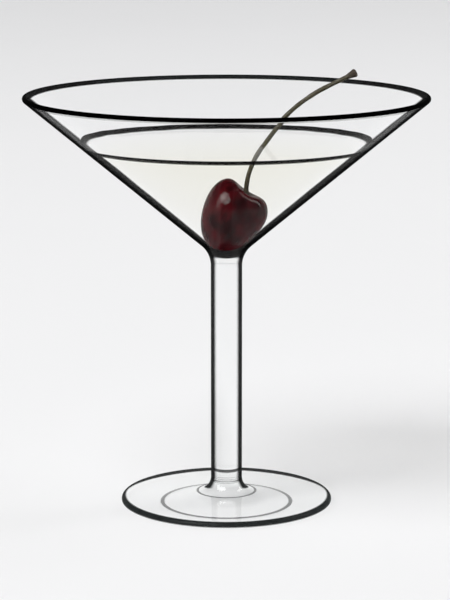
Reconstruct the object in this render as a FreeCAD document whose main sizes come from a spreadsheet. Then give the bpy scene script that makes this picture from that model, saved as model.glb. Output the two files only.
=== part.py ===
"""A martini cocktail in its stemmed glass, with a stalked cherry standing in the drink.

The pieces are the glass, the drink, the cherry and the cherry's stalk. The origin is on the glass's
axis at the plane it stands on, +Z is up and the stalk leans towards +X. Lengths are in millimetres.
The sizes are the cells of the spreadsheet "Sizes".
"""

import FreeCAD, Part
import math
import os

import Sketcher
from FreeCAD import Placement, Rotation, Vector

# Alias, value and meaning of each driving size. Lengths are in millimetres, angles in degrees.
SIZES = (
    ("glass_height", 140.0, "standing plane to the top of the rim"),
    ("rim_diameter", 136.0, "widest across the rim"),
    ("cone_depth", 58.0, "rim down to where the outer cone would end in a point"),
    ("wall_thickness", 1.7, "the bowl's wall, square to its face"),
    ("bottom_radius", 5.0, "rounding of the bowl's inner bottom"),
    ("bowl_fillet", 9.0, "outer rounding between bowl and stem"),
    ("stem_diameter", 10.6, "solid stem"),
    ("foot_fillet", 5.0, "rounding between stem and foot"),
    ("foot_diameter", 72.0, "widest across the foot"),
    ("foot_edge", 2.4, "thickness of the foot at its round edge"),
    ("foot_slope", 3.0, "fall of the foot's top towards its edge"),
    ("hollow_diameter", 44.0, "shallow hollow under the foot"),
    ("hollow_depth", 1.4, "height of that hollow on the axis"),
    ("drink_drop", 16.4, "top of the rim down to the drink's surface"),
    ("cherry_width", 21.2, "width of the fruit"),
    ("cherry_length", 25.9, "length of the fruit along its own axis"),
    ("shoulder_fullness", 0.26, "share by which the stalk end is fuller than an ellipse"),
    ("tip_fullness", 0.30, "share by which the tip is fuller than an ellipse"),
    ("shoulder_lift", 0.75, "how far one shoulder stands above the middle of the two"),
    ("saddle_depth", 2.6, "how far the fruit falls away between its two shoulders"),
    ("dimple_depth", 3.9, "depth of the dimple round the stalk"),
    ("dimple_diameter", 8.5, "width of that dimple"),
    ("cleft_depth", 0.3, "depth of the cleft down one side of the fruit"),
    ("cleft_angle", -62.0, "where the cleft lies round the fruit"),
    ("cherry_lean", 30.0, "lean of the fruit's axis towards +X"),
    ("cherry_offset", 1.9, "distance of the fruit's middle from the glass's axis"),
    ("cherry_clearance", 0.3, "gap between the fruit and the bowl where they are nearest"),
    ("stalk_diameter", 1.5, "thickness of the stalk"),
    ("stalk_root", 1.2, "length of stalk that is set in the fruit"),
    ("stalk_lean", 4.6, "lean of the stalk where it leaves the fruit"),
    ("stalk_rise", 1.35, "straight length above the fruit"),
    ("lower_bend_radius", 27.0, "first bend of the stalk"),
    ("lower_bend_turn", 33.4, "angle of that bend"),
    ("stalk_middle", 6.0, "straight length between the bends"),
    ("upper_bend_radius", 49.0, "second bend of the stalk"),
    ("upper_bend_turn", 26.3, "angle of that bend"),
    ("stalk_reach", 7.5, "straight length between the second bend and the knob"),
    ("stalk_swing", 6.0, "turn of the stalk towards +Y, away from +X"),
    ("knob_diameter", 3.2, "woody knob that ends the stalk"),
    ("knob_length", 4.0, "length over which the stalk widens into its knob"),
    ("knob_fillet", 0.7, "rounding of the knob's end"),
)
# Sizes that follow from those above, as formulas of the same spreadsheet.
FORMULAS = (
    ("rim_bead", "=wall_thickness / 2", "radius of the round rim"),
    ("rim_across", "=(rim_diameter - wall_thickness) / 2", "axis to the middle of the rim's bead"),
    ("rim_rise", "=cone_depth - wall_thickness / 2", "outer cone's apex up to the bead's middle"),
    (
        "bowl_slant",
        "=(atan(rim_across / rim_rise) + asin(rim_bead / hypot(rim_across; rim_rise))) / 1 deg",
        "slope of the bowl's faces from the axis, outer face against the bead",
    ),
    (
        "inner_apex",
        "=glass_height - cone_depth + wall_thickness / sin(bowl_slant * 1 deg)",
        "height at which the inner cone would end in a point",
    ),
    ("drink_level", "=glass_height - drink_drop", "height of the drink's surface"),
)
TIP_SPREAD = 0.9  # how far round the fruit its fuller tip reaches, in radians
CLEFT_SPREAD = 0.30  # half width of the cleft round the fruit, in radians
SADDLE_SHARE = 2.5  # brings the deepest part of the saddle to its full depth
FRUIT_ROWS = 30  # points from the dimple to the tip
FRUIT_COLUMNS = 28  # points round the fruit

document = FreeCAD.newDocument("martini_cocktail")


# ---------------------------------------------------------------------------------------------
# The spreadsheet, sketches and features


def make_sheet():
    """The spreadsheet of sizes: alias in column A, value or formula in B, meaning in C."""
    sheet = document.addObject("Spreadsheet::Sheet", "Sizes")
    for row, (alias, value, meaning) in enumerate(SIZES + FORMULAS, start=1):
        sheet.set(f"A{row}", alias)
        sheet.set(f"B{row}", str(value))
        sheet.set(f"C{row}", meaning)
        sheet.setAlias(f"B{row}", alias)
    document.recompute()
    return sheet


def make_body(label):
    """An empty PartDesign body with that label."""
    body = document.addObject("PartDesign::Body", label)
    body.Label = label
    return body


def origin_feature(body, role):
    """The plane or axis of a body's own origin that has that role, such as XY_Plane."""
    return next(f for f in body.Origin.OriginFeatures if f.Role == role)


def add_sketch(body, name, support, face=""):
    """An empty sketch on a plane or face of its own body."""
    sketch = body.newObject("Sketcher::SketchObject", name)
    sketch.AttachmentSupport = [(support, face)]
    sketch.MapMode = "FlatFace"
    return sketch


def line(start, end):
    """A straight sketch edge between two (across, up) points."""
    return Part.LineSegment(Vector(*start, 0), Vector(*end, 0))


def arc(centre, radius, first, last):
    """A sketch arc that runs counter-clockwise from the first angle to the last, in radians."""
    circle = Part.Circle(Vector(*centre, 0), Vector(0, 0, 1), radius)
    return Part.ArcOfCircle(circle, first, last)


def constrain(sketch, kind, *where):
    """Adds a constraint that needs no size."""
    sketch.addConstraint(Sketcher.Constraint(kind, *where))


def size_to(sketch, kind, where, value, expression):
    """Adds a constraint with a size, and binds that size to the spreadsheet."""
    index = sketch.addConstraint(Sketcher.Constraint(kind, *where, value))
    sketch.setExpression(f"Constraints[{index}]", expression)


def join(sketch, edges, tangent):
    """Joins each edge's end to the next edge's start. An edge is (geometry, start point, end point),
    and tangent holds the numbers of the edges whose end runs smoothly into the next one."""
    for number, (here, following) in enumerate(zip(edges, edges[1:])):
        kind = "Tangent" if number in tangent else "Coincident"
        constrain(sketch, kind, here[0], here[2], following[0], following[1])


# ---------------------------------------------------------------------------------------------
# The glass


class Bowl:
    """Where the bowl's faces lie."""

    def __init__(self, sheet):
        self.slant = math.radians(sheet.bowl_slant)
        self.bead = sheet.rim_bead
        self.rim_centre = (sheet.rim_across, sheet.glass_height - self.bead)
        # The faces lie one bead to each side of the rim's centre, along the wall's outward normal.
        self.normal = (math.cos(self.slant), -math.sin(self.slant))
        self.outer_edge = self.beside_rim(+self.bead)
        self.inner_edge = self.beside_rim(-self.bead)
        self.outer_apex = sheet.glass_height - sheet.cone_depth
        self.inner_apex = sheet.inner_apex
        self.bottom_radius = sheet.bottom_radius
        self.bottom_centre = self.inner_apex + self.bottom_radius / math.sin(self.slant)

    def beside_rim(self, distance):
        """The point at that distance from the rim's centre, outwards square to the wall."""
        across, up = self.rim_centre
        return (across + distance * self.normal[0], up + distance * self.normal[1])

    def inner_radius(self, height):
        """The inner face's radius at a height above its round bottom."""
        return (height - self.inner_apex) * math.tan(self.slant)

    def bottom_meets_wall(self):
        """Where the round bottom runs into the straight inner face."""
        return (
            self.bottom_radius * math.cos(self.slant),
            self.bottom_centre - self.bottom_radius * math.sin(self.slant),
        )

    def floor_height(self, radius):
        """Height of the inner face at a radius, on the round bottom or on the cone."""
        if radius < self.bottom_meets_wall()[0]:
            return self.bottom_centre - math.sqrt(self.bottom_radius**2 - radius**2)
        return self.inner_apex + radius / math.tan(self.slant)


def glass_edges(sheet, bowl):
    """The glass's half section, from the axis under the foot round to the axis in the bowl."""
    right = math.pi / 2
    edge = sheet.foot_edge / 2
    slope = math.radians(sheet.foot_slope)
    stem = sheet.stem_diameter / 2
    hollow = sheet.hollow_diameter / 2

    dome = (hollow**2 + sheet.hollow_depth**2) / (2 * sheet.hollow_depth)
    dome_centre = (0, sheet.hollow_depth - dome)
    dome_end = right - math.asin(hollow / dome)

    edge_centre = (sheet.foot_diameter / 2 - edge, edge)
    top_start = (edge_centre[0] + edge * math.sin(slope), edge_centre[1] + edge * math.cos(slope))
    foot_centre_across = stem + sheet.foot_fillet
    foot_top = top_start[1] + (top_start[0] - foot_centre_across) * math.tan(slope)
    foot_centre = (foot_centre_across, foot_top + sheet.foot_fillet / math.cos(slope))
    top_end = (
        foot_centre[0] - sheet.foot_fillet * math.sin(slope),
        foot_centre[1] - sheet.foot_fillet * math.cos(slope),
    )

    # The upper rounding lies outside the wall: its centre is one radius from the outer face.
    bowl_centre_across = stem + sheet.bowl_fillet
    beside = (bowl_centre_across - bowl.outer_edge[0]) * bowl.normal[0]
    bowl_centre = (
        bowl_centre_across,
        bowl.outer_edge[1] + (sheet.bowl_fillet - beside) / bowl.normal[1],
    )
    wall_start = (
        bowl_centre[0] - sheet.bowl_fillet * bowl.normal[0],
        bowl_centre[1] - sheet.bowl_fillet * bowl.normal[1],
    )

    return [
        arc(dome_centre, dome, dome_end, right),
        line((hollow, 0), (edge_centre[0], 0)),
        arc(edge_centre, edge, -right, right - slope),
        line(top_start, top_end),
        arc(foot_centre, sheet.foot_fillet, math.pi, math.pi + right - slope),
        line((stem, foot_centre[1]), (stem, bowl_centre[1])),
        arc(bowl_centre, sheet.bowl_fillet, math.pi - bowl.slant, math.pi),
        line(wall_start, bowl.outer_edge),
        arc(bowl.rim_centre, bowl.bead, -bowl.slant, math.pi - bowl.slant),
        line(bowl.inner_edge, bowl.bottom_meets_wall()),
        arc((0, bowl.bottom_centre), bowl.bottom_radius, -right, -bowl.slant),
        line((0, bowl.bottom_centre - bowl.bottom_radius), (0, sheet.hollow_depth)),
    ]


def make_glass(sheet, bowl):
    """The one-piece glass: its half section turned about the axis."""
    body = make_body("glass")
    sketch = add_sketch(body, "glass_section", origin_feature(body, "XZ_Plane"))
    hollow, under, edge, top, flare, stem, shoulder, outer, rim, inner, bottom, axis = range(12)
    sketch.addGeometry(glass_edges(sheet, bowl), False)
    apex = sketch.addGeometry(Part.Point(Vector(0, bowl.outer_apex, 0)), True)
    start, end, centre = 1, 2, 3
    # An arc that the outline follows clockwise is entered at its end.
    route = [
        (hollow, end, start),
        (under, start, end),
        (edge, start, end),
        (top, start, end),
        (flare, end, start),
        (stem, start, end),
        (shoulder, end, start),
        (outer, start, end),
        (rim, start, end),
        (inner, start, end),
        (bottom, end, start),
        (axis, start, end),
        (hollow, end, start),
    ]
    join(sketch, route, tangent={1, 2, 3, 4, 5, 6, 7, 8, 9})
    origin_point, across_axis, up_axis = (-1, 1), -1, -2
    on_axis = ((axis, start), (axis, end), (hollow, centre), (bottom, centre), (apex, start))
    for geometry, point in on_axis:
        constrain(sketch, "PointOnObject", geometry, point, up_axis)
    constrain(sketch, "PointOnObject", apex, start, outer)
    constrain(sketch, "PointOnObject", under, start, across_axis)
    constrain(sketch, "Horizontal", under)
    constrain(sketch, "Vertical", stem)
    constrain(sketch, "Parallel", outer, inner)

    half = "Sizes.{} / 2".format
    size_to(sketch, "DistanceY", (*origin_point, axis, end), sheet.hollow_depth, "Sizes.hollow_depth")
    size_to(
        sketch,
        "DistanceX",
        (*origin_point, under, start),
        sheet.hollow_diameter / 2,
        half("hollow_diameter"),
    )
    size_to(sketch, "Radius", (edge,), sheet.foot_edge / 2, half("foot_edge"))
    size_to(
        sketch,
        "DistanceX",
        (*origin_point, edge, centre),
        (sheet.foot_diameter - sheet.foot_edge) / 2,
        "(Sizes.foot_diameter - Sizes.foot_edge) / 2",
    )
    size_to(
        sketch,
        "Angle",
        (top,),
        math.pi - math.radians(sheet.foot_slope),
        "180 - Sizes.foot_slope",
    )
    size_to(sketch, "Radius", (flare,), sheet.foot_fillet, "Sizes.foot_fillet")
    size_to(
        sketch, "DistanceX", (*origin_point, stem, start), sheet.stem_diameter / 2, half("stem_diameter")
    )
    size_to(sketch, "Radius", (shoulder,), sheet.bowl_fillet, "Sizes.bowl_fillet")
    size_to(
        sketch,
        "DistanceY",
        (*origin_point, apex, start),
        bowl.outer_apex,
        "Sizes.glass_height - Sizes.cone_depth",
    )
    size_to(sketch, "Radius", (rim,), bowl.bead, "Sizes.rim_bead")
    size_to(
        sketch, "DistanceX", (*origin_point, rim, centre), bowl.rim_centre[0], "Sizes.rim_across"
    )
    size_to(
        sketch,
        "DistanceY",
        (*origin_point, rim, centre),
        bowl.rim_centre[1],
        "Sizes.glass_height - Sizes.rim_bead",
    )
    size_to(sketch, "Radius", (bottom,), bowl.bottom_radius, "Sizes.bottom_radius")
    turn_about_axis(body, sketch)
    return body


def turn_about_axis(body, sketch):
    """Turns a half section a full circle about its body's Z axis."""
    turned = body.newObject("PartDesign::Revolution", sketch.Name + "_turned")
    turned.Profile = sketch
    turned.ReferenceAxis = (origin_feature(body, "Z_Axis"), [""])
    turned.Angle = 360
    sketch.Visibility = False


# ---------------------------------------------------------------------------------------------
# The cherry


def fruit_point(sheet, down, round_):
    """A point of the upright fruit about its middle. down runs from 0 in the dimple to pi at the
    tip, round_ is the angle about the fruit's axis.

    The fruit is an ellipse turned about its axis, made fuller towards the stalk and at the tip. A
    bell-shaped dimple is pressed in round the stalk and a shallow cleft runs down one side. Two
    shoulders stand on either side of the stalk, one a little higher than the other, and between
    them the fruit falls away like a saddle.
    """
    half_width = sheet.cherry_width / 2
    fullness = sheet.shoulder_fullness
    radius = half_width * math.sin(down) * (1 + fullness * math.cos(down)) / (1 + fullness**2 / 4)
    radius *= 1 + sheet.tip_fullness * math.exp(-(((math.pi - down) / TIP_SPREAD) ** 2))
    off_cleft = math.remainder(round_ - math.radians(sheet.cleft_angle), 2 * math.pi)
    radius -= (
        sheet.cleft_depth * math.sin(down) * math.exp(-((off_cleft / CLEFT_SPREAD) ** 2))
    )

    height = sheet.cherry_length / 2 * math.cos(down)
    if down < math.pi / 2:
        spread = sheet.dimple_diameter / sheet.cherry_width
        height -= sheet.dimple_depth * math.exp(-((math.sin(down) / spread) ** 2))
    across = radius * math.cos(round_)
    height -= sheet.shoulder_lift * across / half_width * math.cos(down / 2) ** 2
    saddle = SADDLE_SHARE * math.sin(down) ** 2 * math.cos(down / 2) ** 4
    height -= sheet.saddle_depth * saddle * math.sin(round_) ** 2
    return Vector(across, radius * math.sin(round_), height)


def fruit_grid(sheet):
    """Rows of points from the dimple to the tip, leaning as the fruit leans, about its middle.
    The rows begin and end in the cleft, so that the surface's seam lies in it."""
    lean = Rotation(Vector(0, 1, 0), sheet.cherry_lean)
    first = math.radians(sheet.cleft_angle)
    return [
        [
            lean.multVec(
                fruit_point(
                    sheet,
                    math.pi * row / (FRUIT_ROWS - 1),
                    first + 2 * math.pi * column / FRUIT_COLUMNS,
                )
            )
            for column in range(FRUIT_COLUMNS + 1)
        ]
        for row in range(FRUIT_ROWS)
    ]


def fruit_middle(sheet, bowl, grid):
    """Where the fruit's middle comes when it is lowered into the bowl as far as it goes."""
    lowest = max(
        bowl.floor_height(math.hypot(sheet.cherry_offset + point.x, point.y)) - point.z
        for row in grid
        for point in row
    )
    return Vector(sheet.cherry_offset, 0, lowest + sheet.cherry_clearance / math.sin(bowl.slant))


def make_fruit(grid, middle):
    """The whole fruit as one smooth face closed on itself."""
    surface = Part.BSplineSurface()
    surface.interpolate([[middle + point for point in row] for row in grid])
    fruit = document.addObject("Part::Feature", "cherry_whole")
    fruit.Shape = Part.Solid(Part.Shell([surface.toShape()]))
    return fruit


# ---------------------------------------------------------------------------------------------
# The stalk


def stalk_edges(sheet):
    """The stalk's middle line, from its root straight up and over to the right."""
    edges = []
    point = Vector(0, 0, 0)
    lean = 0.0
    parts = (
        (sheet.stalk_root + sheet.stalk_rise, 0.0),
        (sheet.lower_bend_radius, sheet.lower_bend_turn),
        (sheet.stalk_middle, 0.0),
        (sheet.upper_bend_radius, sheet.upper_bend_turn),
        (sheet.stalk_reach, 0.0),
    )
    for size, turn in parts:
        if turn:
            centre = point + size * Vector(math.cos(lean), -math.sin(lean), 0)
            following = lean + math.radians(turn)
            edges.append(arc((centre.x, centre.y), size, math.pi - following, math.pi - lean))
            point = centre - size * Vector(math.cos(following), -math.sin(following), 0)
            lean = following
        else:
            end = point + size * Vector(math.sin(lean), math.cos(lean), 0)
            edges.append(line((point.x, point.y), (end.x, end.y)))
            point = end
    return edges


def make_stalk(sheet, dimple):
    """The stalk: a round pipe along its middle line, widened at its end into a knob."""
    body = make_body("stalk")
    path = add_sketch(body, "stalk_path", origin_feature(body, "XZ_Plane"))
    path.addGeometry(stalk_edges(sheet), False)
    rise, lower, middle, upper, reach = range(5)
    start, end = 1, 2
    route = [
        (rise, start, end),
        (lower, end, start),
        (middle, start, end),
        (upper, end, start),
        (reach, start, end),
    ]
    join(path, route, tangent={0, 1, 2, 3})
    constrain(path, "Coincident", rise, start, -1, 1)
    constrain(path, "Vertical", rise)
    lengths = (
        (rise, "Distance", sheet.stalk_root + sheet.stalk_rise, "Sizes.stalk_root + Sizes.stalk_rise"),
        (lower, "Radius", sheet.lower_bend_radius, "Sizes.lower_bend_radius"),
        (middle, "Distance", sheet.stalk_middle, "Sizes.stalk_middle"),
        (upper, "Radius", sheet.upper_bend_radius, "Sizes.upper_bend_radius"),
        (reach, "Distance", sheet.stalk_reach, "Sizes.stalk_reach"),
    )
    for edge, kind, value, expression in lengths:
        size_to(path, kind, (edge,), value, expression)
    first_lean = math.radians(90 - sheet.lower_bend_turn)
    second_lean = first_lean - math.radians(sheet.upper_bend_turn)
    size_to(path, "Angle", (middle,), first_lean, "90 - Sizes.lower_bend_turn")
    size_to(
        path,
        "Angle",
        (reach,),
        second_lean,
        "90 - Sizes.lower_bend_turn - Sizes.upper_bend_turn",
    )

    profile = add_sketch(body, "stalk_profile", origin_feature(body, "XY_Plane"))
    radius = sheet.stalk_diameter / 2
    profile.addGeometry(Part.Circle(Vector(0, 0, 0), Vector(0, 0, 1), radius), False)
    constrain(profile, "Coincident", 0, 3, -1, 1)
    size_to(profile, "Radius", (0,), radius, "Sizes.stalk_diameter / 2")

    pipe = body.newObject("PartDesign::AdditivePipe", "stalk_pipe")
    pipe.Profile = profile
    pipe.Spine = path
    path.Visibility = profile.Visibility = False
    document.recompute()

    end_face = farthest(pipe.Shape.Faces, lambda face: face.CenterOfMass.x)
    knob = body.newObject("PartDesign::Pad", "stalk_knob")
    knob.Profile = (pipe, [end_face])
    knob.setExpression("Length", "Sizes.knob_length")
    knob.setExpression(
        "TaperAngle", "atan((Sizes.knob_diameter - Sizes.stalk_diameter) / 2 / Sizes.knob_length)"
    )
    document.recompute()

    rounding = body.newObject("PartDesign::Fillet", "stalk_end")
    rounding.Base = (knob, [farthest(knob.Shape.Edges, lambda edge: edge.CenterOfMass.x)])
    rounding.setExpression("Radius", "Sizes.knob_fillet")

    turn = Rotation(Vector(0, 0, 1), sheet.stalk_swing) * Rotation(Vector(0, 1, 0), sheet.stalk_lean)
    root = turn.multVec(Vector(0, 0, sheet.stalk_root))
    body.Placement = Placement(dimple - root, turn)
    return body


def farthest(pieces, distance):
    """The name, such as Face3, of the one of those faces or edges with the greatest distance."""
    number, piece = max(enumerate(pieces, start=1), key=lambda numbered: distance(numbered[1]))
    return f"{piece.ShapeType}{number}"


# ---------------------------------------------------------------------------------------------
# The drink


def make_filling(sheet, bowl):
    """Everything in the bowl up to the drink's surface, as if nothing stood in it."""
    body = make_body("filling")
    sketch = add_sketch(body, "filling_section", origin_feature(body, "XZ_Plane"))
    level = sheet.drink_level
    edges = [
        arc((0, bowl.bottom_centre), bowl.bottom_radius, -math.pi / 2, -bowl.slant),
        line(bowl.bottom_meets_wall(), (bowl.inner_radius(level), level)),
        line((bowl.inner_radius(level), level), (0, level)),
        line((0, level), (0, bowl.bottom_centre - bowl.bottom_radius)),
    ]
    sketch.addGeometry(edges, False)
    apex = sketch.addGeometry(Part.Point(Vector(0, bowl.inner_apex, 0)), True)
    bottom, wall, surface, axis = range(4)
    start, end, centre = 1, 2, 3
    route = [
        (bottom, start, end),
        (wall, start, end),
        (surface, start, end),
        (axis, start, end),
        (bottom, start, end),
    ]
    join(sketch, route, tangent={0})
    origin_point, up_axis = (-1, 1), -2
    for geometry, point in ((axis, start), (axis, end), (bottom, centre), (apex, start)):
        constrain(sketch, "PointOnObject", geometry, point, up_axis)
    constrain(sketch, "PointOnObject", apex, start, wall)
    constrain(sketch, "Horizontal", surface)
    size_to(sketch, "Radius", (bottom,), bowl.bottom_radius, "Sizes.bottom_radius")
    size_to(sketch, "Angle", (wall,), math.pi / 2 - bowl.slant, "90 - Sizes.bowl_slant")
    size_to(sketch, "DistanceY", (*origin_point, apex, start), bowl.inner_apex, "Sizes.inner_apex")
    size_to(sketch, "DistanceY", (*origin_point, axis, start), level, "Sizes.drink_level")
    turn_about_axis(body, sketch)
    return body


def cut(label, base, tool):
    """One object less another."""
    result = document.addObject("Part::Cut", label)
    result.Base = base
    result.Tool = tool
    result.Label = label
    return result


# ---------------------------------------------------------------------------------------------
# The whole


def make_all():
    """Builds the drink and returns its pieces."""
    sheet = make_sheet()
    bowl = Bowl(sheet)
    glass = make_glass(sheet, bowl)

    grid = fruit_grid(sheet)
    middle = fruit_middle(sheet, bowl, grid)
    fruit = make_fruit(grid, middle)
    stalk = make_stalk(sheet, dimple=middle + grid[0][0])
    cherry = cut("cherry", fruit, stalk)

    garnish = document.addObject("Part::Fuse", "garnish")
    garnish.Base = cherry
    garnish.Tool = stalk
    drink = cut("drink", make_filling(sheet, bowl), garnish)
    document.recompute()
    return [glass, drink, cherry, stalk]


def check(pieces):
    """Stops unless every object is sound and every piece is one good solid."""
    for thing in document.Objects:
        bad = [state for state in thing.State if state in ("Invalid", "Error")]
        if bad:
            raise RuntimeError(f"{thing.Label} is {', '.join(bad)}")
        if thing.isDerivedFrom("Sketcher::SketchObject") and not thing.FullyConstrained:
            raise RuntimeError(f"{thing.Label} is not fully constrained")
    for piece in pieces:
        if piece.Shape.isNull() or not piece.Shape.isValid() or len(piece.Shape.Solids) != 1:
            raise RuntimeError(f"{piece.Label} is not one valid solid")


def export(pieces):
    """Writes each piece to its own STEP file, named by its label."""
    os.makedirs("parts", exist_ok=True)
    for piece in pieces:
        piece.Shape.exportStep(f"parts/{piece.Label}.step")


pieces = make_all()
check(pieces)
export(pieces)
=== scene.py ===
"""A martini cocktail: a clear stemmed glass, the drink, a dark cocktail cherry and its stalk.

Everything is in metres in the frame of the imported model: the origin is on the glass's axis at the
plane it stands on, +Z is up and the stalk leans towards +X. Each piece is a surface worked out from
two parameters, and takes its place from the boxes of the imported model.
"""

import math

import bpy
import numpy as np
from bpy.props import FloatProperty, FloatVectorProperty, PointerProperty
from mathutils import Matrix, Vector


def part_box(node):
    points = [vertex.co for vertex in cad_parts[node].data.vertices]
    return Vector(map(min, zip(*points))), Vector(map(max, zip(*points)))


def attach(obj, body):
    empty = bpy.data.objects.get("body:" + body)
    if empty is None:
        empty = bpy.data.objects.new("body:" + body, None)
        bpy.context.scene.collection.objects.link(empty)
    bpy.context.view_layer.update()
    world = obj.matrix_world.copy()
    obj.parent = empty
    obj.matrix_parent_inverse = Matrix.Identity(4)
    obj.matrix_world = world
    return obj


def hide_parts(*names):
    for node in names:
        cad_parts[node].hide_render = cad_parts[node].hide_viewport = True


bl_info = {
    "name": "Martini Cocktail",
    "version": (1, 0, 0),
    "blender": (4, 5, 0),
    "location": "View3D > Sidebar > Cocktail",
    "description": "Makes a martini cocktail in its glass, with a stalked cherry, on a pale stage",
    "category": "Add Mesh",
}

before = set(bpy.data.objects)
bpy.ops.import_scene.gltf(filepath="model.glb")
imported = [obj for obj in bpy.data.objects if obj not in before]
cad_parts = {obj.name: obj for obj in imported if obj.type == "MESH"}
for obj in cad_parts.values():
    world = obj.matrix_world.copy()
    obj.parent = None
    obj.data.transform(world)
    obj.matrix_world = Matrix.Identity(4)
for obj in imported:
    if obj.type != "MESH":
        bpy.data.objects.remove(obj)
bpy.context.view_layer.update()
GLASS_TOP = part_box("glass")[1][2]
DRINK_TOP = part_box("drink")[1][2]
CHERRY_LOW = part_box("cherry")[0]

FLOOR_DROP = 0.0002  # the floor lies this far under the foot, so that the two faces stay apart
WALL_OVERLAP = 0.0002  # how far the drink reaches into the glass, so that no air shows between
FLOOR_HALF = 30.0  # from the middle of the floor to its edge
KEY_SPREAD, KEY_TURN = 35.0, (28.0, -24.0, 0.0)  # the key light's width and turn, in degrees

COLUMNS = 288  # round the glass and the drink
FRUIT_ROWS, FRUIT_COLUMNS = 180, 240
STALK_ROWS, STALK_COLUMNS = 300, 48
LINE_STEPS = 2000  # along the stalk's middle line

# The relief of the cherry and its stalk. The puckers' place is an angle down from the dimple.
SADDLE_SHARE = 2.5  # brings the deepest part of the saddle to about the depth that is set
FRUIT_WAVES, FRUIT_PUCKERS = 0.00006, 0.00007
PUCKER_MIDDLE, PUCKER_SPREAD = 0.62, 0.24
STALK_SWELL, SWELL_REACH = 0.00028, 0.0011
STALK_WAVER = 0.000022
STALK_RIDGES, STALK_FINE_RIDGES = 0.000035, 0.00002
KNOB_ROUNDING = 0.45  # as a share of the knob's radius
CUP_DEPTH = 0.00035
STALK_CLIMB = 0.2  # how far the drink climbs the stalk, as a share of its climb at the wall

# Where the finish of the glass and its painted shade change: heights above the plane it stands on, then
# distances in from the edge of the foot, half widths of a painted dark line, and how far a face is
# turned from the eye.
UNBENT_FOOT = (0.0036, 0.0046)
FOOT_TO_STEM = (0.0038, 0.0056)
STEM_TO_BOWL = (0.083, 0.090)
GROUND_HEIGHT = (0.0004, 0.0008)
TOE_LOW, TOE_HIGH = (0.0025, 0.0030), (0.0060, 0.0070)
BEAD_BAND = (0.0019, 0.0011)
GRAZING_BAND = 0.0045
LINE_HALF = (0.0004, 0.0009)
TOE_HALF = (0.0002, 0.0006)
GRAZING, EDGE_ON = (0.74, 0.79), (0.83, 0.90)

# The painted shade starts where a face of the foot is turned FOOT_START from the eye, and elsewhere
# where it is turned 1 less LINE_START times the line's cosine. It is full LINE_SOFTNESS cosines further
# on.
FOOT_START = 0.93
LINE_START, LINE_SOFTNESS = 1.10, 0.33

# The drink's painted shade darkens it between these shares of its climb, and this far lower against the
# glass.
CLIMB_BAND = (0.08, 0.35)
CLIMB_DROP = 0.0004


# ---------------------------------------------------------------------------------------------
# Sizes and colours


def length(name, description, default):
    """A property for a length in metres."""
    return FloatProperty(
        name=name, description=description, default=default, min=0.0, unit="LENGTH", precision=5
    )


def angle(name, description, degrees):
    """A property for an angle."""
    return FloatProperty(
        name=name, description=description, default=math.radians(degrees), subtype="ANGLE"
    )


def amount(name, description, default):
    """A property for a plain number."""
    return FloatProperty(name=name, description=description, default=default, precision=3)


def colour(name, description, default):
    """A property for a colour."""
    return FloatVectorProperty(
        name=name, description=description, default=default, subtype="COLOR", size=3, min=0.0, max=1.0
    )


class GlassSettings(bpy.types.PropertyGroup):
    """Sizes and finish of the glass."""

    height: length("Height", "Standing plane to the top of the rim", GLASS_TOP)
    rim_radius: length("Rim Radius", "Widest radius of the rim", 0.068)
    cone_depth: length("Cone Depth", "Rim down to the apex of the outer cone", 0.058)
    wall: length("Wall", "Thickness of the bowl's wall", 0.0017)
    bottom_radius: length("Bottom Radius", "Rounding of the bowl's inner bottom", 0.005)
    bowl_fillet: length("Bowl Fillet", "Outer rounding between bowl and stem", 0.009)
    stem_radius: length("Stem Radius", "Radius of the solid stem", 0.0053)
    foot_fillet: length("Foot Fillet", "Rounding between stem and foot", 0.005)
    foot_radius: length("Foot Radius", "Widest radius of the foot", 0.036)
    foot_edge: length("Foot Edge", "Thickness of the foot at its round edge", 0.0024)
    foot_slope: angle("Foot Slope", "Fall of the foot's top towards its edge", 3.0)
    hollow_radius: length("Hollow Radius", "Radius of the hollow under the foot", 0.022)
    hollow_depth: length("Hollow Depth", "Height of the hollow on the axis", 0.0014)
    ior: amount("Refractive Index", "How strongly the glass bends light", 1.5)
    bowl_gloss: amount("Bowl Gloss", "How much of glass's gloss shows on the bowl's thin wall", 0.10)
    # The edge line and the edge colour are painted shade: a dark see-through line along the glass's
    # outline, on its beads and in two rings of its foot.
    line: length("Edge Line", "Width of the dark line along the bowl's and the stem's outline", 0.0014)
    painted_edge_shade_colour: colour("Edge Colour", "Glass seen edge on", (0.008, 0.011, 0.011))
    body_colour: colour("Body Colour", "Light left after a metre of glass", (0.80, 0.93, 0.90))
    body_density: amount("Body Density", "How strongly thick glass is tinted", 5.0)


class DrinkSettings(bpy.types.PropertyGroup):
    """Sizes and finish of the drink."""

    level: length("Level", "Height of the drink's surface", DRINK_TOP)
    meniscus: length("Meniscus", "How far the surface climbs the wall and the stalk", 0.0014)
    meniscus_reach: length("Meniscus Reach", "Distance over which that climb dies away", 0.0012)
    gloss: amount("Gloss", "How much of a still drink's gloss shows on its surface", 0.22)
    ior: amount("Refractive Index", "What that gloss is worked out from", 1.34)
    # Painted shade: the dark colour of the line where the drink's surface climbs the glass and the
    # stalk.
    painted_edge_shade_colour: colour("Edge Colour", "The drink where it climbs the glass", (0.02, 0.02, 0.016))
    tint: colour("Tint", "Light left after a metre of drink", (0.93, 0.90, 0.62))
    density: amount("Density", "How strongly the drink is tinted", 4.0)


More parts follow.
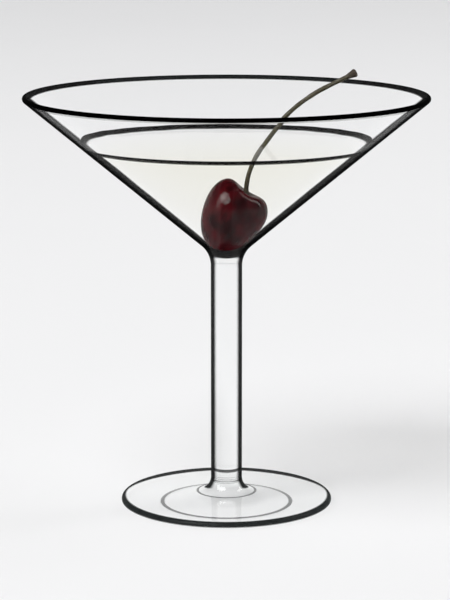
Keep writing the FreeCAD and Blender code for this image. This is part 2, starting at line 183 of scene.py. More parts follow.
class CherrySettings(bpy.types.PropertyGroup):
    """Sizes and colours of the cherry."""

    width: length("Width", "Width of the fruit", 0.0212)
    length: length("Length", "Length of the fruit along its own axis", 0.0259)
    shoulder_fullness: amount("Shoulder Fullness", "Extra fullness at the stalk end", 0.26)
    tip_fullness: amount("Tip Fullness", "Extra fullness at the tip", 0.30)
    tip_spread: angle("Tip Spread", "How far round the fruit its fuller tip reaches", 51.6)
    shoulder_lift: length("Shoulder Lift", "Height of the higher shoulder over the middle", 0.00075)
    saddle_depth: length("Saddle Depth", "How far the fruit falls away between its shoulders", 0.0026)
    dimple_depth: length("Dimple Depth", "Depth of the dimple round the stalk", 0.0039)
    dimple_width: length("Dimple Width", "Width of the dimple", 0.0085)
    cleft_depth: length("Cleft Depth", "Depth of the cleft down one side", 0.0003)
    cleft_angle: angle("Cleft Angle", "Where the cleft lies round the fruit", -62.0)
    cleft_spread: angle("Cleft Spread", "Half width of the cleft round the fruit", 17.2)
    lean: angle("Lean", "Lean of the fruit's axis", 30.0)
    dark_colour: colour("Dark Colour", "Deepest colour of the skin", (0.012, 0.0006, 0.0012))
    light_colour: colour("Light Colour", "Brightest colour of the skin", (0.055, 0.0022, 0.0045))
    dot_colour: colour("Dot Colour", "Tiny pale dots in the skin", (0.22, 0.035, 0.03))


class StalkSettings(bpy.types.PropertyGroup):
    """Sizes and colours of the stalk."""

    radius: length("Radius", "Radius of the stalk", 0.00075)
    root: length("Root", "Length that is set in the fruit", 0.0012)
    lean: angle("Lean", "Lean where the stalk leaves the fruit", 4.6)
    rise: length("Rise", "Straight length above the fruit", 0.00135)
    lower_radius: length("Lower Bend Radius", "First bend", 0.027)
    lower_turn: angle("Lower Bend Turn", "Angle of the first bend", 33.4)
    middle: length("Middle", "Straight length between the bends", 0.006)
    upper_radius: length("Upper Bend Radius", "Second bend", 0.049)
    upper_turn: angle("Upper Bend Turn", "Angle of the second bend", 26.3)
    reach: length("Reach", "Straight length up to the knob", 0.0075)
    swing: angle("Swing", "Turn of the stalk towards the back", 6.0)
    knob_radius: length("Knob Radius", "Radius of the woody knob at the end", 0.0016)
    knob_length: length("Knob Length", "Length over which the stalk widens into its knob", 0.004)
    green_colour: colour("Green Colour", "The fresher middle of the stalk", (0.042, 0.038, 0.009))
    brown_colour: colour("Brown Colour", "The drier streaks and ends", (0.024, 0.012, 0.005))
    wood_colour: colour("Wood Colour", "The torn wood of the knob's end", (0.10, 0.058, 0.028))


class StageSettings(bpy.types.PropertyGroup):
    """The floor, lights and camera."""

    floor_colour: colour("Floor Colour", "The pale floor", (0.86, 0.86, 0.86))
    sky_colour: colour("Horizon Colour", "The pale surroundings up to the height of a wall", (0.90,) * 3)
    ceiling_colour: colour("Ceiling Colour", "The dark surroundings overhead", (0.10, 0.10, 0.11))
    sun_strength: amount("Key Strength", "The broad key light", 2.1)
    focal_length: amount("Focal Length", "Of the camera, in millimetres", 144.1)
    camera_distance: length("Camera Distance", "From the glass's axis, along the floor", 0.7984)
    camera_height: length("Camera Height", "Above the floor", 0.2265)
    camera_side: FloatProperty(
        name="Camera Side", description="Shift to the right", default=-0.0005, unit="LENGTH"
    )
    camera_pitch: angle("Camera Pitch", "How far the camera looks down", 11.07)


# ---------------------------------------------------------------------------------------------
# Surfaces


def unit_steps(count):
    """count even steps from 0 to 1, both included."""
    return np.linspace(0.0, 1.0, count)


def smooth_step(values, low, high):
    """0 below low, 1 above high, and between them the S-curve 3t^2 - 2t^3."""
    t = np.clip((values - low) / (high - low), 0.0, 1.0)
    return t * t * (3.0 - 2.0 * t)


def straight(start, end, count):
    """Points on the straight line from start to end: start + (1 - cos pi t) / 2 (end - start), so
    that they lie close together at its ends, where it runs into curves."""
    start, end = np.array(start), np.array(end)
    share = (1 - np.cos(np.pi * unit_steps(count))) / 2
    return start + share[:, None] * (end - start)


def arc(centre, radius, start, end, count):
    """Points on a circle: centre + radius (cos t, sin t), as t goes from start to end."""
    turn = start + (end - start) * unit_steps(count)
    return np.array(centre) + radius * np.stack([np.cos(turn), np.sin(turn)], axis=-1)


def chain(*stretches):
    """Stretches of an outline laid end to end, each without its first point, which is the last
    point of the stretch before it."""
    return np.concatenate([stretches[0]] + [stretch[1:] for stretch in stretches[1:]])


def turned(outline, columns):
    """A grid of points: row i, column j is outline point i = (across, up) turned about the Z axis
    by the angle v = 2 pi j / columns, which is (across cos v, across sin v, up)."""
    turn = 2 * np.pi * np.arange(columns) / columns
    across, up = outline[:, :1], outline[:, 1:]
    return np.stack(
        [across * np.cos(turn), across * np.sin(turn), np.broadcast_to(up, (len(outline), columns))],
        axis=-1,
    )


def closed_mesh(name, grid):
    """A closed smooth mesh from a grid of points. Columns run round and meet again, and the first
    and last rows are single points that close the two ends. The UV map is (round, along)."""
    rows, columns = grid.shape[:2]
    points = np.concatenate([grid[0, :1], grid[1:-1].reshape(-1, 3), grid[-1, :1]])
    last = len(points) - 1
    here = np.arange(columns)
    following = (here + 1) % columns
    ring = 1 + columns * np.arange(rows - 2)[:, None]
    quads = np.stack(
        [ring[:-1] + here, ring[:-1] + following, ring[1:] + following, ring[1:] + here], axis=-1
    ).reshape(-1, 4)
    first_fan = np.stack([np.zeros(columns, int), 1 + following, 1 + here], axis=-1)
    last_fan = np.stack([np.full(columns, last), ring[-1] + here, ring[-1] + following], axis=-1)
    corners = np.concatenate([first_fan.ravel(), quads.ravel(), last_fan.ravel()])
    sizes = np.concatenate([np.full(columns, 3), np.full(len(quads), 4), np.full(columns, 3)])

    # The end fans' tips take the middle of their column, and the seam's corners go up to 1.
    u_here, u_following = here / columns, (here + 1) / columns
    u_middle = (u_here + u_following) / 2
    along = np.arange(rows) / (rows - 1)
    u_quads = np.tile(np.stack([u_here, u_following, u_following, u_here], axis=-1), (rows - 3, 1))
    v_low, v_high = along[1:-2].repeat(columns), along[2:-1].repeat(columns)
    uv = np.concatenate(
        [
            uv_corners([u_middle, u_following, u_here], [along[0], along[1], along[1]], columns),
            np.stack([u_quads.ravel(), np.stack([v_low, v_low, v_high, v_high], axis=-1).ravel()], -1),
            uv_corners([u_middle, u_here, u_following], [along[-1], along[-2], along[-2]], columns),
        ]
    )

    mesh = bpy.data.meshes.new(name)
    mesh.vertices.add(len(points))
    mesh.vertices.foreach_set("co", points.astype(np.float32).ravel())
    mesh.loops.add(len(corners))
    mesh.loops.foreach_set("vertex_index", corners.astype(np.int32))
    mesh.polygons.add(len(sizes))
    starts = np.concatenate([[0], np.cumsum(sizes)[:-1]])
    mesh.polygons.foreach_set("loop_start", starts.astype(np.int32))
    mesh.polygons.foreach_set("use_smooth", np.ones(len(sizes), bool))
    mesh.update(calc_edges=True)
    mesh.uv_layers.new(name="surface").data.foreach_set("uv", uv.astype(np.float32).ravel())
    if enclosed_volume(points, quads) < 0:
        mesh.flip_normals()
    mesh.validate()
    piece = bpy.data.objects.new(name, mesh)
    bpy.context.scene.collection.objects.link(piece)
    return piece


def uv_corners(u, v, columns):
    """The UV corners of a fan of triangles: three columns of u with three numbers for v."""
    return np.stack([np.stack(u, axis=-1), np.broadcast_to(v, (columns, 3))], axis=-1).reshape(-1, 2)


def enclosed_volume(points, quads):
    """Six times the volume inside the faces, positive if they face outwards: the sum over each
    half of each face of a . (b x c)."""
    a, b, c, d = (points[quads[:, k]] for k in range(4))
    return np.sum(a * np.cross(b, c)) + np.sum(a * np.cross(c, d))


def settle(piece, node, material):
    """The piece takes the place of that CAD node, and gets its material."""
    piece.data.materials.append(material)
    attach(piece, "root")
    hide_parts(node)


# ---------------------------------------------------------------------------------------------
# Shaders


class Value:
    """A number that varies over a surface. Python's operators on it add Math nodes."""

    def __init__(self, tree, socket):
        self.tree = tree
        self.socket = socket

    def combine(self, operation, first, second=0.0):
        """first and second, numbers or Values, put through one Math node."""
        node = self.tree.nodes.new("ShaderNodeMath")
        node.operation = operation
        for slot, term in zip(node.inputs, (first, second)):
            plug(self.tree, slot, term)
        return Value(self.tree, node.outputs[0])

    def __add__(self, other):
        return self.combine("ADD", self, other)

    def __radd__(self, other):
        return self.combine("ADD", other, self)

    def __sub__(self, other):
        return self.combine("SUBTRACT", self, other)

    def __rsub__(self, other):
        return self.combine("SUBTRACT", other, self)

    def __mul__(self, other):
        return self.combine("MULTIPLY", self, other)

    def __rmul__(self, other):
        return self.combine("MULTIPLY", other, self)

    def __truediv__(self, other):
        return self.combine("DIVIDE", self, other)

    def __rtruediv__(self, other):
        return self.combine("DIVIDE", other, self)

    def __pow__(self, other):
        return self.combine("POWER", self, other)

    def __abs__(self):
        return self.combine("ABSOLUTE", self)

    def higher(self, other):
        """The higher of the two at each point."""
        return self.combine("MAXIMUM", self, other)


def plug(tree, slot, term):
    """Gives a socket a link from a Value, or a plain number, colour or vector."""
    if isinstance(term, Value):
        tree.links.new(term.socket, slot)
    elif slot.type == "RGBA":
        slot.default_value = (*term, 1.0)
    else:
        slot.default_value = term


def set_stops(ramp, stops):
    """Gives a colour ramp its stops, each a position and a colour."""
    while len(ramp.elements) < len(stops):
        ramp.elements.new(1.0)
    for element, (position, tone) in zip(ramp.elements, stops):
        element.position = position
        element.color = (*tone, 1.0)


class Finish:
    """The nodes of one material, or of the world."""

    def __init__(self, owner):
        owner.use_nodes = True
        self.owner = owner
        self.tree = owner.node_tree
        self.tree.nodes.clear()

    def node(self, kind, settings=(), inputs=(), output=0):
        """Adds a node. settings, set first, are its own attributes, or a ramp's stops. inputs are
        the values or links of its sockets, by name or number. Returns the output asked for."""
        node = self.tree.nodes.new(kind)
        for name, value in dict(settings).items():
            if name == "stops":
                set_stops(node.color_ramp, value)
            else:
                setattr(node, name, value)
        for name, value in dict(inputs).items():
            plug(self.tree, node.inputs[name], value)
        return Value(self.tree, node.outputs[output]) if len(node.outputs) else node

    def place(self):
        """Object coordinates, in metres."""
        return self.node("ShaderNodeTexCoord", output="Object")

    def axes(self):
        """The three object coordinates, in metres."""
        return [
            self.node("ShaderNodeSeparateXYZ", {}, {"Vector": self.place()}, axis) for axis in "XYZ"
        ]

    def noise(self, scale, detail, where=None):
        """Soft noise from 0 to 1 with that many lumps to a metre."""
        return self.node(
            "ShaderNodeTexNoise",
            {},
            {"Vector": where or self.place(), "Scale": scale, "Detail": detail},
            "Fac",
        )

    def blend(self, factor, first, second):
        """The colour that goes from first to second as factor goes from 0 to 1."""
        return self.node(
            "ShaderNodeMix", {"data_type": "RGBA"}, {0: factor, 6: first, 7: second}, 2
        )

    def rise(self, value, low, high):
        """0 below low, 1 above high, and a smooth curve between."""
        return self.node(
            "ShaderNodeMapRange",
            {"interpolation_type": "SMOOTHSTEP"},
            {"Value": value, "From Min": low, "From Max": high},
        )

    def fall(self, value, low, high):
        """1 below low, 0 above high, and a smooth curve between."""
        return 1.0 - self.rise(value, low, high)

    def bump(self, height, distance):
        """A normal tilted by a height map whose full height is that distance."""
        return self.node("ShaderNodeBump", {}, {"Height": height, "Distance": distance}, "Normal")

    def see_through(self, tone=(1.0, 1.0, 1.0)):
        """Lets that colour straight through."""
        return self.node("ShaderNodeBsdfTransparent", {}, {"Color": tone})

    def mirror(self, roughness, normal):
        """A colourless mirror."""
        return self.node(
            "ShaderNodeBsdfAnisotropic",
            {"distribution": "GGX"},
            {"Color": (1.0, 1.0, 1.0), "Roughness": roughness, "Normal": normal},
        )

    def mix(self, factor, first, second):
        """The shader that goes from first to second as factor goes from 0 to 1."""
        return self.node("ShaderNodeMixShader", {}, {0: factor, 1: first, 2: second})

    def finish(self, surface, volume=None):
        """Ends the material with its surface and, for a clear one, its inside."""
        ends = {"Surface": surface}
        if volume:
            ends["Volume"] = volume
        self.node("ShaderNodeOutputMaterial", {}, ends)
        return self.owner


# ---------------------------------------------------------------------------------------------
# The glass


class Bowl:
    """Where the bowl's faces lie: the rim's middle, the slope from the axis, the apex of the inner
    cone and the middle of the round bottom. The outer face touches the rim's bead and points at
    its own apex."""

    def __init__(self, glass):
        bead = glass.wall / 2
        self.rim = (glass.rim_radius - bead, glass.height - bead)
        across, up = self.rim[0], glass.cone_depth - bead
        self.slant = math.atan(across / up) + math.asin(bead / math.hypot(across, up))
        self.apex = glass.height - glass.cone_depth + glass.wall / math.sin(self.slant)
        self.bottom = self.apex + glass.bottom_radius / math.sin(self.slant)

    def radius(self, height):
        """Radius of the inner face: (height - apex) tan slant."""
        return (height - self.apex) * math.tan(self.slant)


def glass_outline(glass):
    """The glass's half section, from the axis under the foot round the outside, over the rim and
    down inside to the axis. It is arcs and straights that run smoothly into each other: an arc's
    middle lies one radius from each straight that it joins."""
    quarter = math.pi / 2
    bowl = Bowl(glass)
    bead = glass.wall / 2
    outwards = np.array([math.cos(bowl.slant), -math.sin(bowl.slant)])
    outer_end = bowl.rim + bead * outwards
    inner_end = bowl.rim - bead * outwards

    dome = (glass.hollow_radius**2 + glass.hollow_depth**2) / (2 * glass.hollow_depth)
    dome_turn = math.asin(glass.hollow_radius / dome)
    hollow = arc((0, glass.hollow_depth - dome), dome, quarter, quarter - dome_turn, 24)

    slope, edge = glass.foot_slope, glass.foot_edge / 2
    foot = arc((glass.foot_radius - edge, edge), edge, -quarter, quarter - slope, 18)
    flare_across = glass.stem_radius + glass.foot_fillet
    top = foot[-1][1] + (foot[-1][0] - flare_across) * math.tan(slope)
    flare_middle = (flare_across, top + glass.foot_fillet / math.cos(slope))
    flare = arc(flare_middle, glass.foot_fillet, -quarter - slope, -2 * quarter, 18)

    neck_across = glass.stem_radius + glass.bowl_fillet
    beside = (neck_across - outer_end[0]) * outwards[0]
    neck_middle = (neck_across, outer_end[1] + (glass.bowl_fillet - beside) / outwards[1])
    neck = arc(neck_middle, glass.bowl_fillet, 2 * quarter, 2 * quarter - bowl.slant, 20)

    rim = arc(bowl.rim, bead, -bowl.slant, 2 * quarter - bowl.slant, 20)
    bottom = arc((0, bowl.bottom), glass.bottom_radius, -bowl.slant, -quarter, 16)
    return chain(
        hollow,
        straight(hollow[-1], foot[0], 12),
        foot,
        straight(foot[-1], flare[0], 20),
        flare,
        straight(flare[-1], neck[0], 24),
        neck,
        straight(neck[-1], outer_end, 40),
        rim,
        straight(inner_end, bottom[0], 40),
        bottom,
    )


def lit_through(finish, shader, clearness):
    """Lets that share of the light for shadows and for lit surfaces straight through a clear
    piece, so that what lies in it and behind it is lit."""
    path = finish.tree.nodes.new("ShaderNodeLightPath")
    shadow = Value(finish.tree, path.outputs["Is Shadow Ray"])
    diffuse = Value(finish.tree, path.outputs["Is Diffuse Ray"])
    return finish.mix(shadow.higher(diffuse) * clearness, shader, finish.see_through())


def painted_bead_shade(finish, glass, radius, z, facing):
    """Painted shade on the round beads of the rim and the foot: 1 there and 0 elsewhere. A face seen
    from inside the glass counts for less. The foot's band reaches further in where its top is seen at a
    low angle, which keeps its painted line even all round, but not where it is seen almost edge on."""
    rim = finish.rise(z, glass.height - 0.9 * glass.wall, glass.height - 0.7 * glass.wall)
    reach = GRAZING_BAND * finish.rise(facing, *GRAZING) * finish.fall(facing, *EDGE_ON)
    foot = finish.rise(radius + reach, *(glass.foot_radius - band for band in BEAD_BAND))
    foot = foot * finish.fall(z, 1.2 * glass.foot_edge, 1.6 * glass.foot_edge)
    foot = foot * finish.rise(z, 0.2 * glass.foot_edge, 0.45 * glass.foot_edge)
    behind = finish.node("ShaderNodeNewGeometry", output="Backfacing")
    return rim.higher(foot) * (1.0 - 0.7 * behind)


def painted_foot_shade_rings(finish, glass, radius, z):
    """Painted shade in two thin rings of the foot: 1 at the edge of the hollow under it and at the toe
    of the stem.
    """
    ground = finish.fall(abs(radius - glass.hollow_radius), *LINE_HALF)
    ground = ground * finish.fall(z, *GROUND_HEIGHT)
    toe_radius = glass.stem_radius + glass.foot_fillet - 0.0004
    toe = finish.fall(abs(radius - toe_radius), *TOE_HALF)
    toe = toe * finish.rise(z, *TOE_LOW) * finish.fall(z, *TOE_HIGH)
    return ground.higher(toe)


def clear_glass(glass, drink):
    """Clear blown glass, with slow waves left by the blowing and the faintest haze of wiping.

    It carries painted shade where it is seen edge on: a dark see-through colour in a line of even width
    along the outline of the bowl and the stem, on the beads of the rim and the foot, and in two rings of
    the foot. Such a line is where the cosine to the eye is under sqrt(width / radius) on the bowl, and
    under sqrt(2 width / radius) on the upright stem. Its gloss follows Fresnel's law, is held back on
    the bowl and in the painted dark lines, and is gone where the drink wets the wall. The broad faces of
    the foot let light straight through, and the rest bends it.
    """
    finish = Finish(bpy.data.materials.new("clear_glass"))
    bowl = Bowl(glass)
    x, y, z = finish.axes()
    radius = (x * x + y * y) ** 0.5
    # A radius inside the wall tells its inner face from its outer one.
    inside_wall = (z - bowl.apex) * math.tan(bowl.slant) + 0.6 * glass.wall
    inner = finish.rise(inside_wall - radius, 0.0, 0.0001)
    wet = inner * finish.fall(z, drink.level, drink.level + drink.meniscus)

    upper = finish.rise(z, *STEM_TO_BOWL)
    standing = finish.rise(z, *FOOT_TO_STEM)
    # edge is the mask of painted shade: dark along the outline where a face is seen edge on, on the
    # beads and in the foot's two rings.
    cosine = ((2.0 - upper) * glass.line / radius) ** 0.5
    facing = finish.node("ShaderNodeLayerWeight", {}, {"Blend": 0.5}, "Facing")
    start = FOOT_START - (LINE_START * cosine - (1.0 - FOOT_START)) * standing
    edge = finish.rise((facing - start) / (LINE_SOFTNESS * cosine), 0.0, 1.0)
    edge = edge.higher(painted_bead_shade(finish, glass, radius, z, facing))
    edge = edge.higher(0.75 * painted_foot_shade_rings(finish, glass, radius, z))

    waves = finish.bump(finish.noise(45.0, 1.0), 0.00006)
    wiping = 0.012 * finish.rise(finish.noise(160.0, 4.0), 0.45, 0.75)
    bent = finish.node(
        "ShaderNodeBsdfRefraction",
        {"distribution": "GGX"},
        {"Color": (1.0, 1.0, 1.0), "Roughness": wiping, "IOR": glass.ior, "Normal": waves},
    )
    unbent = finish.fall(z, *UNBENT_FOOT)
    clear = finish.mix(unbent, bent, finish.see_through())
    # The edge mask lays the painted shade: a dark see-through colour in place of the clear glass.
    body = finish.mix(0.985 * edge, clear, finish.see_through(tuple(glass.painted_edge_shade_colour)))
    behind = finish.node("ShaderNodeNewGeometry", output="Backfacing")
    fresnel = finish.node("ShaderNodeFresnel", {}, {"IOR": glass.ior, "Normal": waves})
    gloss = fresnel * (1.0 - (1.0 - glass.bowl_gloss) * upper) * (1.0 - 0.9 * edge) * (1.0 - wet)
    shader = finish.mix(gloss * (1.0 - behind * unbent), body, finish.mirror(wiping, waves))
    inside = finish.node(
        "ShaderNodeVolumeAbsorption",
        {},
        {"Color": tuple(glass.body_colour), "Density": glass.body_density},
    )
    return finish.finish(lit_through(finish, shader, 0.65), inside)


class COCKTAIL_OT_glass(bpy.types.Operator):
    """Makes the glass: its half section turned once about the axis"""

    bl_idname = "cocktail.glass"
    bl_label = "Make Glass"

    def execute(self, context):
        glass = context.scene.cocktail_glass
        piece = closed_mesh("glass_bowl_stem_and_foot", turned(glass_outline(glass), COLUMNS))
        settle(piece, "glass", clear_glass(glass, context.scene.cocktail_drink))
        return {"FINISHED"}


# ---------------------------------------------------------------------------------------------
# The cherry


def fruit_points(cherry, down, round_):
    """The upright fruit about its middle. down, from 0 in the dimple to pi at the tip, and round_
    are its two parameters.

    radius = w sin(down) (1 + k cos(down)) / (1 + k^2 / 4), made fuller by a bell at the tip and
    pressed in by a bell along the cleft; height = l cos(down) less a bell for the dimple, less a
    tilt that lifts the shoulder on one side, and less a saddle between the shoulders, which is its
    depth times a share times sin(down)^2 cos(down / 2)^4 sin(round)^2. w and l are half the width
    and length. Slow waves of a tenth of a millimetre and fine puckers that run out of the dimple are
    added to the radius.
    """
    half_width, fullness = cherry.width / 2, cherry.shoulder_fullness
    ring = np.sin(down)
    radius = half_width * ring * (1 + fullness * np.cos(down)) / (1 + fullness**2 / 4)
    radius = radius * (
        1 + cherry.tip_fullness * np.exp(-(((np.pi - down) / cherry.tip_spread) ** 2))
    )
    off_cleft = np.angle(np.exp(1j * (round_ - cherry.cleft_angle)))
    radius = radius - cherry.cleft_depth * ring * np.exp(-((off_cleft / cherry.cleft_spread) ** 2))
    waves = np.sin(3 * round_ + 2.1 * down) + 0.7 * np.sin(5 * round_ - 4.3 * down + 1.0)
    puckers = np.sin(19 * round_ + 2.5 * np.sin(3 * round_)) * np.exp(
        -(((down - PUCKER_MIDDLE) / PUCKER_SPREAD) ** 2)
    )
    radius = radius + ring * (FRUIT_WAVES * waves * ring + FRUIT_PUCKERS * puckers)

    spread = cherry.dimple_width / cherry.width
    dimple = cherry.dimple_depth * np.exp(-((ring / spread) ** 2)) * (down < np.pi / 2)
    across = radius * np.cos(round_)
    tilt = cherry.shoulder_lift * across / half_width * np.cos(down / 2) ** 2
    saddle = SADDLE_SHARE * ring**2 * np.cos(down / 2) ** 4 * np.sin(round_) ** 2
    height = cherry.length / 2 * np.cos(down) - dimple - tilt - cherry.saddle_depth * saddle
    return np.stack([across, radius * np.sin(round_), height], axis=-1)


def leaned(points, lean):
    """Points turned about the Y axis, so that what pointed up leans towards +X."""
    x, y, z = points[..., 0], points[..., 1], points[..., 2]
    cosine, sine = math.cos(lean), math.sin(lean)
    return np.stack([x * cosine + z * sine, y, z * cosine - x * sine], axis=-1)


def fruit_grid(cherry):
    """The leaning fruit in its place: its lowest and leftmost points are those of the CAD cherry,
    and its middle lies in the plane through the glass's axis."""
    down = np.pi * unit_steps(FRUIT_ROWS)[:, None]
    round_ = 2 * np.pi * np.arange(FRUIT_COLUMNS) / FRUIT_COLUMNS
    grid = leaned(fruit_points(cherry, down, round_), cherry.lean)
    low = grid.reshape(-1, 3).min(axis=0)
    return grid + np.array([CHERRY_LOW[0] - low[0], 0.0, CHERRY_LOW[2] - low[2]])


def cherry_skin(cherry):
    """Taut dark skin: clouds and fine streaks from stalk to tip in its red, tiny pale dots, and a
    wet gloss broken by pores."""
    finish = Finish(bpy.data.materials.new("cherry_skin"))
    surface = finish.node("ShaderNodeTexCoord", output="UV")
    streaks = finish.noise(
        9.0, 5.0, finish.node("ShaderNodeMapping", {}, {"Vector": surface, "Scale": (9.0, 0.7, 1.0)})
    )
    clouds = finish.noise(170.0, 3.0)
    dots = finish.node(
        "ShaderNodeTexVoronoi",
        {"feature": "F1"},
        {"Vector": finish.place(), "Scale": 620.0, "Randomness": 1.0},
        "Distance",
    )
    dot = finish.fall(dots, 0.07, 0.15)
    tone = finish.rise(0.6 * clouds + 0.4 * streaks, 0.38, 0.62)
    red = finish.blend(tone, tuple(cherry.dark_colour), tuple(cherry.light_colour))
    pores = finish.noise(2600.0, 2.0)
    shader = finish.node(
        "ShaderNodeBsdfPrincipled",
        {},
        {
            "Base Color": finish.blend(dot * 0.45, red, tuple(cherry.dot_colour)),
            "Roughness": 0.24 + 0.16 * streaks,
            "Specular IOR Level": 0.0,
            "Subsurface Weight": 0.12,
            "Subsurface Radius": (0.004, 0.0008, 0.0006),
            "Subsurface Scale": 0.5,
            "Coat Weight": 0.32,
            "Coat Roughness": 0.07,
            "Coat IOR": 1.5,
            "Normal": finish.bump(pores + clouds * 2.0 - dot, 0.00004),
        },
    )
    return finish.finish(shader)


class COCKTAIL_OT_cherry(bpy.types.Operator):
    """Makes the fruit of the cherry, with its dimple, cleft and puckered shoulders"""

    bl_idname = "cocktail.cherry"
    bl_label = "Make Cherry"

    def execute(self, context):
        cherry = context.scene.cocktail_cherry
        piece = closed_mesh("cherry_fruit", fruit_grid(cherry))
        settle(piece, "cherry", cherry_skin(cherry))
        return {"FINISHED"}


# ---------------------------------------------------------------------------------------------
# The stalk


class StalkLine:
    """The stalk's middle line. Its lean is even along each straight and grows steadily along each
    bend, and the line is the running sum of its direction. It lies in one upright plane, which
    is turned about Z by the swing, and leaves the fruit in the middle of the dimple."""

    def __init__(self, stalk, dimple):
        lower, upper = stalk.lower_turn, stalk.upper_turn
        lengths = [
            stalk.root + stalk.rise,
            stalk.lower_radius * lower,
            stalk.middle,
            stalk.upper_radius * upper,
            stalk.reach + stalk.knob_length,
        ]
        self.marks = np.concatenate([[0.0], np.cumsum(lengths)])
        self.leans = stalk.lean + np.array([0.0, 0.0, lower, lower, lower + upper, lower + upper])
        self.length = self.marks[-1]
        self.side = np.array([math.cos(stalk.swing), math.sin(stalk.swing), 0.0])
        self.steps = self.length * unit_steps(LINE_STEPS)
        ways = self.ways(self.steps)
        middles = (ways[1:] + ways[:-1]) / 2 * (self.length / (LINE_STEPS - 1))
        start = np.array(dimple) - stalk.root * ways[0]
        self.points = start + np.concatenate([np.zeros((1, 3)), np.cumsum(middles, axis=0)])

    def ways(self, run):
        """The line's direction after each of those lengths: sin(lean) side + cos(lean) up."""
        lean = np.interp(run, self.marks, self.leans)[:, None]
        return np.sin(lean) * self.side + np.cos(lean) * np.array([0.0, 0.0, 1.0])

    def at(self, run):
        """The line's points after each of those lengths."""
        return np.stack([np.interp(run, self.steps, self.points[:, k]) for k in range(3)], axis=-1)

    def crossing(self, height):
        """Where the line passes that height."""
        return np.array([np.interp(height, self.points[:, 2], self.points[:, k]) for k in range(3)])


def stalk_grid(stalk, line):
    """The stalk's skin: line(run) + radius (cos t across + sin t sideways).

    The radius swells a little where the stalk leaves the fruit, wavers along it, widens as a power
    of the way through the knob and turns over the knob's end on a quarter circle. The end is a
    shallow torn cup. Low ridges run along the stalk.
    """
    turn = 2 * np.pi * np.arange(STALK_COLUMNS) / STALK_COLUMNS
    rounding = stalk.knob_radius * KNOB_ROUNDING
    body_end = line.length - rounding
    body_run = body_end * unit_steps(STALK_ROWS)
    widening = np.clip((body_run - (line.length - stalk.knob_length)) / stalk.knob_length, 0.0, 1.0)
    collar = np.exp(-(((body_run - stalk.root) / SWELL_REACH) ** 2))
    waver = np.sin(body_run / 0.0021) + 0.8 * np.sin(body_run / 0.00083 + 2.0)
    body_radius = (
        stalk.radius
        + (stalk.knob_radius - stalk.radius) * widening**1.4
        + STALK_SWELL * collar
        + STALK_WAVER * waver
    )
    bend = math.pi / 2 * unit_steps(10)[1:]
    end_radius = body_radius[-1] - rounding * (1 - np.cos(bend))
    end_run = body_end + rounding * np.sin(bend)
    cup = 1 - unit_steps(10)[1:]
    cup_run = line.length - CUP_DEPTH * (1 - cup**2)
    run = np.concatenate([body_run, end_run, cup_run])
    radius = np.concatenate([body_radius, end_radius, end_radius[-1] * cup])
    radius[0] = 0.0

    ridges = STALK_RIDGES * np.cos(5 * turn + 3.0 * np.sin(run / 0.006)[:, None])
    ridges = ridges + STALK_FINE_RIDGES * np.cos(11 * turn + run[:, None] / 0.004)
    radius = radius[:, None] + ridges * smooth_step(radius, 0.0, stalk.radius)[:, None]
    upward = line.ways(run)
    sideways = np.array([-line.side[1], line.side[0], 0.0])
    across = np.cross(np.broadcast_to(sideways, upward.shape), upward)
    return (
        line.at(run)[:, None, :]
        + (radius * np.cos(turn))[..., None] * across[:, None, :]
        + (radius * np.sin(turn))[..., None] * sideways
    )


def stalk_skin(stalk):
    """A dried green stalk: brown streaks along it, browner towards the fruit and the knob, and
    pale torn wood on the knob's end."""
    finish = Finish(bpy.data.materials.new("stalk_skin"))
    surface = finish.node("ShaderNodeTexCoord", output="UV")
    along = finish.node("ShaderNodeSeparateXYZ", {}, {"Vector": surface}, "Y")
    streaks = finish.noise(
        4.0, 6.0, finish.node("ShaderNodeMapping", {}, {"Vector": surface, "Scale": (5.0, 9.0, 1.0)})
    )
    specks = finish.noise(2200.0, 3.0)
    knob = finish.rise(along, 0.86, 0.93)
    root = finish.fall(along, 0.02, 0.16)
    brown = finish.rise(0.75 * streaks + 0.25 * specks, 0.42, 0.64)
    dry = brown.higher(0.9 * knob + 0.6 * root)
    skin = finish.blend(dry, tuple(stalk.green_colour), tuple(stalk.brown_colour))
    torn = finish.rise(along, 0.965, 0.98)
    shader = finish.node(
        "ShaderNodeBsdfPrincipled",
        {},
        {
            "Base Color": finish.blend(torn, skin, tuple(stalk.wood_colour)),
            "Roughness": 0.38 + 0.35 * dry,
            "Normal": finish.bump(streaks + 0.5 * specks, 0.00008),
        },
    )
    return finish.finish(shader)


def make_line(scene):
    """The stalk's middle line in that scene."""
    return StalkLine(scene.cocktail_stalk, fruit_grid(scene.cocktail_cherry)[0, 0])


class COCKTAIL_OT_stalk(bpy.types.Operator):
    """Makes the cherry's stalk, from its root in the dimple to its woody knob"""

    bl_idname = "cocktail.stalk"
    bl_label = "Make Stalk"

    def execute(self, context):
        stalk = context.scene.cocktail_stalk
        line = make_line(context.scene)
        piece = closed_mesh("cherry_stalk", stalk_grid(stalk, line))
        settle(piece, "stalk", stalk_skin(stalk))
        return {"FINISHED"}


# ---------------------------------------------------------------------------------------------
# The drink


